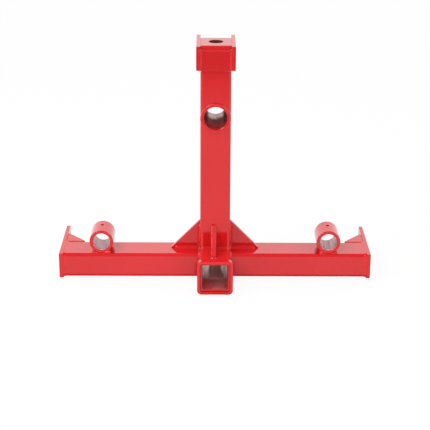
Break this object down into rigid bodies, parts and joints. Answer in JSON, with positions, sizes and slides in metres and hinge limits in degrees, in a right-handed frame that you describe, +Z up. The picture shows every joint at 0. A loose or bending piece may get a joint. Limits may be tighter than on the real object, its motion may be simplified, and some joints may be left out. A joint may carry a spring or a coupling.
{
  "type": "three point receiver hitch",
  "caption": "Welded steel hitch frame: cross tube with end plates, square receiver with collar, gusseted mast with a through sleeve, round spear sleeves and a ball and top link bracket.",
  "frame": {"origin": "centre of the footprint on the floor: X in the middle of the mast, Y midway between the collar's front and the end plates' rear ends, Z at the collar's underside", "axes": "+X to the right seen from the receiver's mouth, along the cross tube; +Y to the tractor, along the receiver; +Z up the mast"},
  "size_m": [0.63, 0.23, 0.483],
  "materials": {
    "red_paint": "gloss red paint on mild steel; bores of the sleeves and the receiver are bare grey steel",
    "weld_paint": "the same gloss red paint over rippled weld beads"
  },
  "bodies": {
    "root": {"receiver_tube": "red_paint", "receiver_collar": "red_paint", "mast_tube": "red_paint", "mast_hub": "red_paint", "front_rib": "red_paint", "cross_tube_left": "red_paint", "cross_tube_right": "red_paint", "end_plate_left": "red_paint", "end_plate_right": "red_paint", "end_gusset_left": "red_paint", "end_gusset_right": "red_paint", "mast_gusset_left": "red_paint", "mast_gusset_right": "red_paint", "spear_sleeve_left": "red_paint", "spear_sleeve_right": "red_paint", "ball_plate": "red_paint", "top_ear_left": "red_paint", "top_ear_right": "red_paint", "weld_collar": "weld_paint", "weld_mouth": "weld_paint", "weld_hub_front": "weld_paint", "weld_hub_rear": "weld_paint", "weld_receiver_left": "weld_paint", "weld_receiver_right": "weld_paint", "weld_mast_foot": "weld_paint", "weld_rib": "weld_paint", "weld_gusset_left": "weld_paint", "weld_gusset_right": "weld_paint", "weld_end_plate_left": "weld_paint", "weld_end_plate_right": "weld_paint", "weld_end_gusset_left": "weld_paint", "weld_end_gusset_right": "weld_paint", "weld_sleeve_left": "weld_paint", "weld_sleeve_right": "weld_paint", "weld_ears": "weld_paint", "weld_bracket": "weld_paint"}
  },
  "joints": []
}
